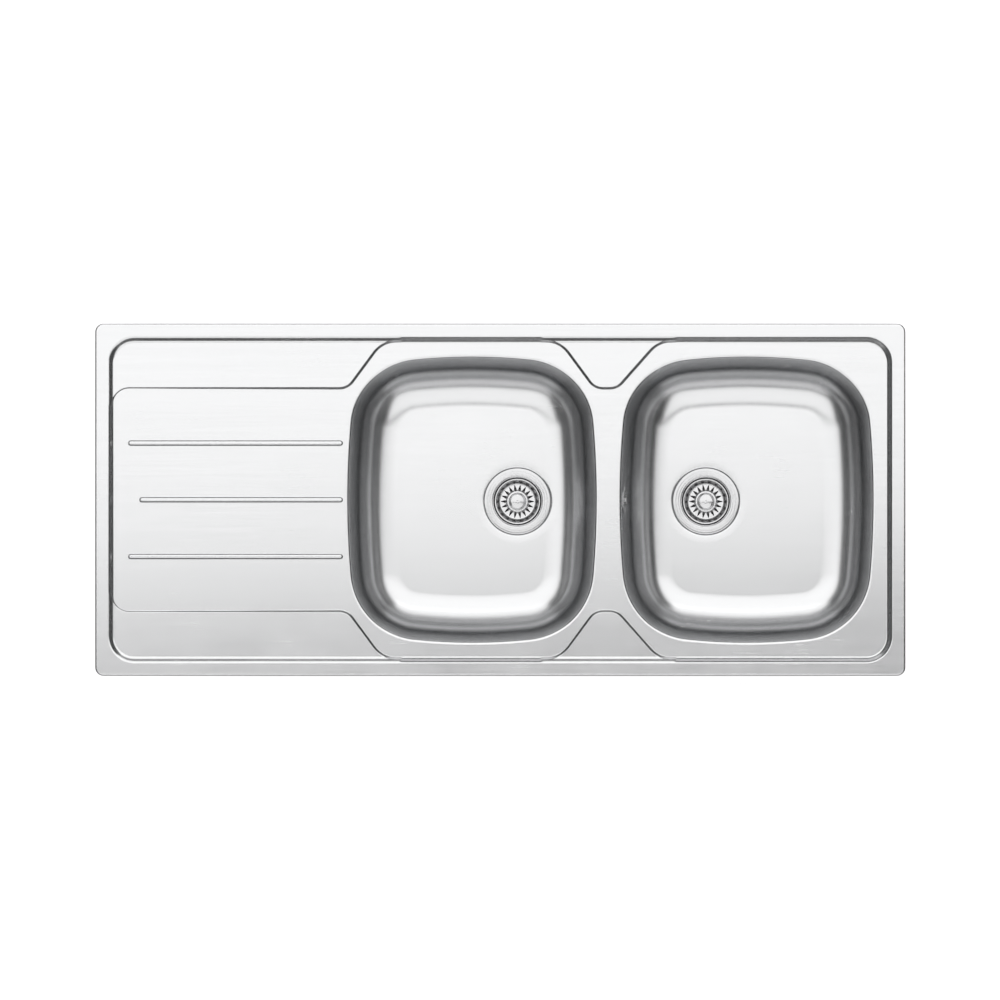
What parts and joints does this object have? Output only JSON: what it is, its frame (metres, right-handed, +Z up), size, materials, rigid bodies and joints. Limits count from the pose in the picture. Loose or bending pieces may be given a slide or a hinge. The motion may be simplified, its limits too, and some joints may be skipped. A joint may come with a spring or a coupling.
{
  "type": "inset kitchen sink",
  "caption": "Inset stainless steel kitchen sink with a ribbed drainer, bowls side by side, strainer wastes, an overflow and fixing clips under the rim.",
  "frame": {"origin": "middle of the rim's outline, on the worktop plane that the rim rests on", "axes": "+X along the sink from the drainer to the bowls, +Y to the back, +Z up"},
  "size_m": [1.15, 0.5, 0.237],
  "materials": {
    "sink_steel": "satin brushed stainless steel sheet",
    "waste_steel": "polished stainless steel",
    "basket_steel": "pressed stainless steel, bright",
    "clip_steel": "zinc plated steel",
    "screw_steel": "bright zinc plated steel",
    "rubber": "matt black rubber",
    "foam": "closed-cell foam strip",
    "damping": "grey damping mat",
    "waste_plastic": "white polypropylene"
  },
  "bodies": {
    "sink": {"deck": "sink_steel", "left_bowl": "sink_steel", "right_bowl": "sink_steel", "rim_seal": "foam", "left_sound_pad": "damping", "right_sound_pad": "damping", "overflow_rose": "waste_steel", "overflow_screw": "screw_steel", "overflow_gasket": "rubber", "overflow_elbow": "waste_plastic", "overflow_pipe": "waste_plastic", "overflow_pipe_nuts": "waste_plastic", "clip_brackets": "clip_steel", "clip_pins": "screw_steel", "left_waste_flange": "waste_steel", "left_flange_gasket": "rubber", "left_body_gasket": "rubber", "left_waste_body": "waste_plastic", "left_clamp_screw": "screw_steel", "right_waste_flange": "waste_steel", "right_flange_gasket": "rubber", "right_body_gasket": "rubber", "right_waste_body": "waste_plastic", "right_clamp_screw": "screw_steel"},
    "left_basket": {"left_strainer_basket": "basket_steel", "left_basket_seal": "rubber", "left_basket_stem": "screw_steel", "left_basket_knob": "waste_steel"},
    "right_basket": {"right_strainer_basket": "basket_steel", "right_basket_seal": "rubber", "right_basket_stem": "screw_steel", "right_basket_knob": "waste_steel"},
    "clip_back_left": {"clip_claw_back_left": "clip_steel", "clip_screw_back_left": "screw_steel"},
    "clip_front_left": {"clip_claw_front_left": "clip_steel", "clip_screw_front_left": "screw_steel"},
    "clip_back_middle": {"clip_claw_back_middle": "clip_steel", "clip_screw_back_middle": "screw_steel"},
    "clip_front_middle": {"clip_claw_front_middle": "clip_steel", "clip_screw_front_middle": "screw_steel"},
    "clip_back_right": {"clip_claw_back_right": "clip_steel", "clip_screw_back_right": "screw_steel"},
    "clip_front_right": {"clip_claw_front_right": "clip_steel", "clip_screw_front_right": "screw_steel"},
    "clip_left_end": {"clip_claw_left_end": "clip_steel", "clip_screw_left_end": "screw_steel"},
    "clip_right_end": {"clip_claw_right_end": "clip_steel", "clip_screw_right_end": "screw_steel"}
  },
  "joints": [
    {"name": "left_basket_lift", "type": "slide", "parent": "sink", "child": "left_basket", "axis": [0, 0, 1], "range_m": [0, 0.2]},
    {"name": "right_basket_lift", "type": "slide", "parent": "sink", "child": "right_basket", "axis": [0, 0, 1], "range_m": [0, 0.2]},
    {"name": "clip_back_left_swing", "type": "hinge", "parent": "sink", "child": "clip_back_left", "pos_m": [-0.40165, 0.2145, -0.0114], "axis": [1, 0, 0], "range_deg": [0, 60]},
    {"name": "clip_front_left_swing", "type": "hinge", "parent": "sink", "child": "clip_front_left", "pos_m": [-0.40165, -0.2145, -0.0114], "axis": [-1, 0, 0], "range_deg": [0, 60]},
    {"name": "clip_back_middle_swing", "type": "hinge", "parent": "sink", "child": "clip_back_middle", "pos_m": [0.1532, 0.2145, -0.0114], "axis": [1, 0, 0], "range_deg": [0, 60]},
    {"name": "clip_front_middle_swing", "type": "hinge", "parent": "sink", "child": "clip_front_middle", "pos_m": [0.1532, -0.2145, -0.0114], "axis": [-1, 0, 0], "range_deg": [0, 60]},
    {"name": "clip_back_right_swing", "type": "hinge", "parent": "sink", "child": "clip_back_right", "pos_m": [0.505, 0.2145, -0.0149], "axis": [1, 0, 0], "range_deg": [0, 60]},
    {"name": "clip_front_right_swing", "type": "hinge", "parent": "sink", "child": "clip_front_right", "pos_m": [0.505, -0.2145, -0.0149], "axis": [-1, 0, 0], "range_deg": [0, 60]},
    {"name": "clip_left_end_swing", "type": "hinge", "parent": "sink", "child": "clip_left_end", "pos_m": [-0.5395, 0, -0.0132], "axis": [0, 1, 0], "range_deg": [0, 60]},
    {"name": "clip_right_end_swing", "type": "hinge", "parent": "sink", "child": "clip_right_end", "pos_m": [0.5395, 0, -0.0149], "axis": [0, -1, 0], "range_deg": [0, 60]}
  ]
}
